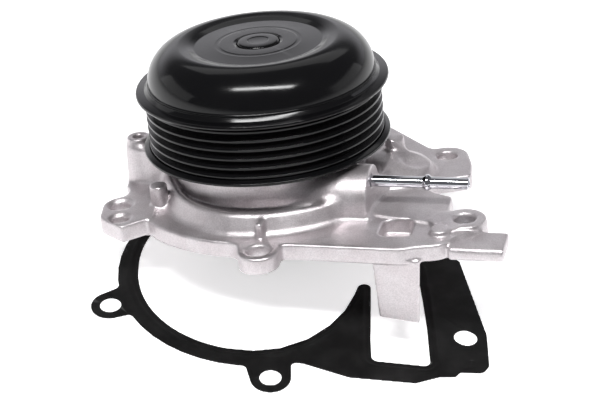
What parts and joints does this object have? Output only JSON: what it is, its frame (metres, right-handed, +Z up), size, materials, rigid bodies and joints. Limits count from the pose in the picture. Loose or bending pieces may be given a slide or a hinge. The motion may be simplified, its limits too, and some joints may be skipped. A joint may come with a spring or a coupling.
{
  "type": "engine coolant pump",
  "caption": "Belt-driven coolant pump with a domed ribbed pulley, cast flange housing, vacuum pipe and shutter, leaning on its loose metal gasket.",
  "frame": {"origin": "middle of the bounding box's underside, on the table the gasket lies on", "axes": "+Z up from the table, -Y towards the viewer; the pump shaft leans 13.4 degrees from +Z, towards the back and a little left"},
  "size_m": [0.1542, 0.1568, 0.0887],
  "materials": {
    "cast_aluminium": "as-cast, fine satin grain, machined seats brighter",
    "black_paint": "gloss black electro-coat",
    "bright_steel": "polished",
    "bearing_steel": "ground",
    "black_plastic": "moulded, satin",
    "rubber": "matt",
    "carbon": "lapped carbon",
    "gasket_coat": "thin matt black coating over sheet steel"
  },
  "bodies": {
    "gasket": {"flange_gasket": "gasket_coat"},
    "housing": {"pump_casting": "cast_aluminium", "bearing_outer_ring": "bearing_steel", "bearing_seal_upper": "rubber", "bearing_seal_lower": "rubber", "shaft_seal_cup": "bright_steel", "shaft_seal_bellows": "rubber", "shaft_seal_carbon_ring": "carbon", "shutter_return_spring": "bright_steel", "spring_seat_ring": "bearing_steel", "vacuum_pipe": "bright_steel", "dowel_bush_rear": "bearing_steel", "dowel_bush_right": "bearing_steel"},
    "rotor": {"belt_pulley": "black_paint", "pump_shaft": "bearing_steel", "shaft_seal_running_ring": "carbon", "impeller": "black_plastic", "impeller_bush": "bearing_steel"},
    "ball_sets": {"bearing_balls_lower": "bearing_steel", "bearing_balls_upper": "bearing_steel"},
    "shutter": {"shutter_sleeve": "bearing_steel", "shutter_piston_seal": "rubber"}
  },
  "joints": [
    {"name": "pump_lift", "type": "slide", "parent": "gasket", "child": "housing", "axis": [0, 0, 1], "range_m": [0, 0.08]},
    {"name": "rotor_spin", "type": "hinge", "parent": "housing", "child": "rotor", "pos_m": [-0.00853, 0.01427, 0.01815], "axis": [-0.0853, 0.2155, 0.9728], "continuous": true},
    {"name": "ball_roll", "type": "hinge", "parent": "housing", "child": "ball_sets", "pos_m": [-0.00853, 0.01427, 0.01815], "axis": [-0.0853, 0.2155, 0.9728], "continuous": true},
    {"name": "shutter_slide", "type": "slide", "parent": "housing", "child": "shutter", "axis": [0.0853, -0.2155, -0.9728], "range_m": [0, 0.0104], "stiffness_N_per_m": 900, "springref_m": -0.006, "deforming": ["shutter_return_spring"]}
  ],
  "couplings": [
    {"joint": "ball_roll", "follows": "rotor_spin", "ratio": 0.402}
  ]
}
